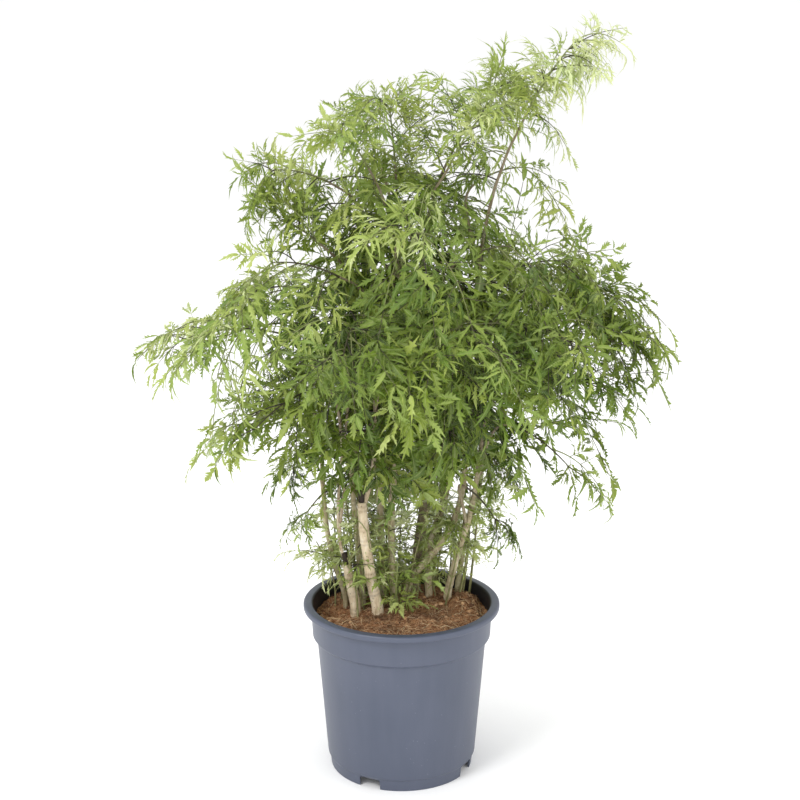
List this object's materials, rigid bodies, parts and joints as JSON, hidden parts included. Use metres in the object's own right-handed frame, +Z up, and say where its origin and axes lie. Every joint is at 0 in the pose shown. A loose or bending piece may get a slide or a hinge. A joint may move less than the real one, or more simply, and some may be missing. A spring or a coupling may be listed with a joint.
{
  "type": "potted ming aralia",
  "caption": "Bushy potted houseplant with slender woody canes and fine, deeply cut drooping foliage in a tapered plastic grower's pot.",
  "frame": {"origin": "on the ground at the pot's axis, centre of the foot ring", "axes": "+Z up along the pot's axis, -Y the front of the plant, +X to the right seen from the front"},
  "size_m": [0.5899, 0.5006, 0.7926],
  "materials": {
    "pot_plastic": "satin moulded polypropylene, blue grey",
    "potting_soil": "loose fibrous coir and peat",
    "bark": "pale smooth bark with corky specks, dark on the twigs",
    "leaf": "thin satin green leaf, lighter at the tips"
  },
  "bodies": {
    "root": {"pot": "pot_plastic", "soil": "potting_soil", "front_trunk": "bark", "left_trunk": "bark", "left_cane": "bark", "left_inner_cane": "bark", "back_left_cane": "bark", "centre_cane": "bark", "front_cane": "bark", "leaning_cane": "bark", "old_trunk": "bark", "right_inner_cane": "bark", "right_cane": "bark", "right_back_cane": "bark", "back_right_cane": "bark", "back_cane": "bark", "leaf_spray_01": "leaf", "leaf_spray_02": "leaf", "leaf_spray_03": "leaf", "leaf_spray_04": "leaf", "leaf_spray_05": "leaf", "leaf_spray_06": "leaf", "leaf_spray_07": "leaf", "leaf_spray_08": "leaf", "leaf_spray_09": "leaf", "leaf_spray_10": "leaf", "leaf_spray_11": "leaf", "leaf_spray_12": "leaf", "leaf_spray_13": "leaf", "leaf_spray_14": "leaf", "leaf_spray_15": "leaf", "leaf_spray_16": "leaf", "leaf_spray_17": "leaf", "leaf_spray_18": "leaf", "leaf_spray_19": "leaf", "leaf_spray_20": "leaf", "leaf_spray_21": "leaf", "leaf_spray_22": "leaf", "leaf_spray_23": "leaf", "leaf_spray_24": "leaf", "leaf_spray_25": "leaf", "leaf_spray_26": "leaf", "leaf_spray_27": "leaf", "leaf_spray_28": "leaf", "leaf_spray_29": "leaf", "leaf_spray_30": "leaf", "leaf_spray_31": "leaf", "leaf_spray_32": "leaf", "leaf_spray_33": "leaf", "leaf_spray_34": "leaf", "leaf_spray_35": "leaf", "leaf_spray_36": "leaf", "leaf_spray_37": "leaf", "leaf_spray_38": "leaf", "leaf_spray_39": "leaf", "leaf_spray_40": "leaf", "leaf_spray_41": "leaf", "leaf_spray_42": "leaf", "young_shoot": "leaf"}
  },
  "joints": []
}
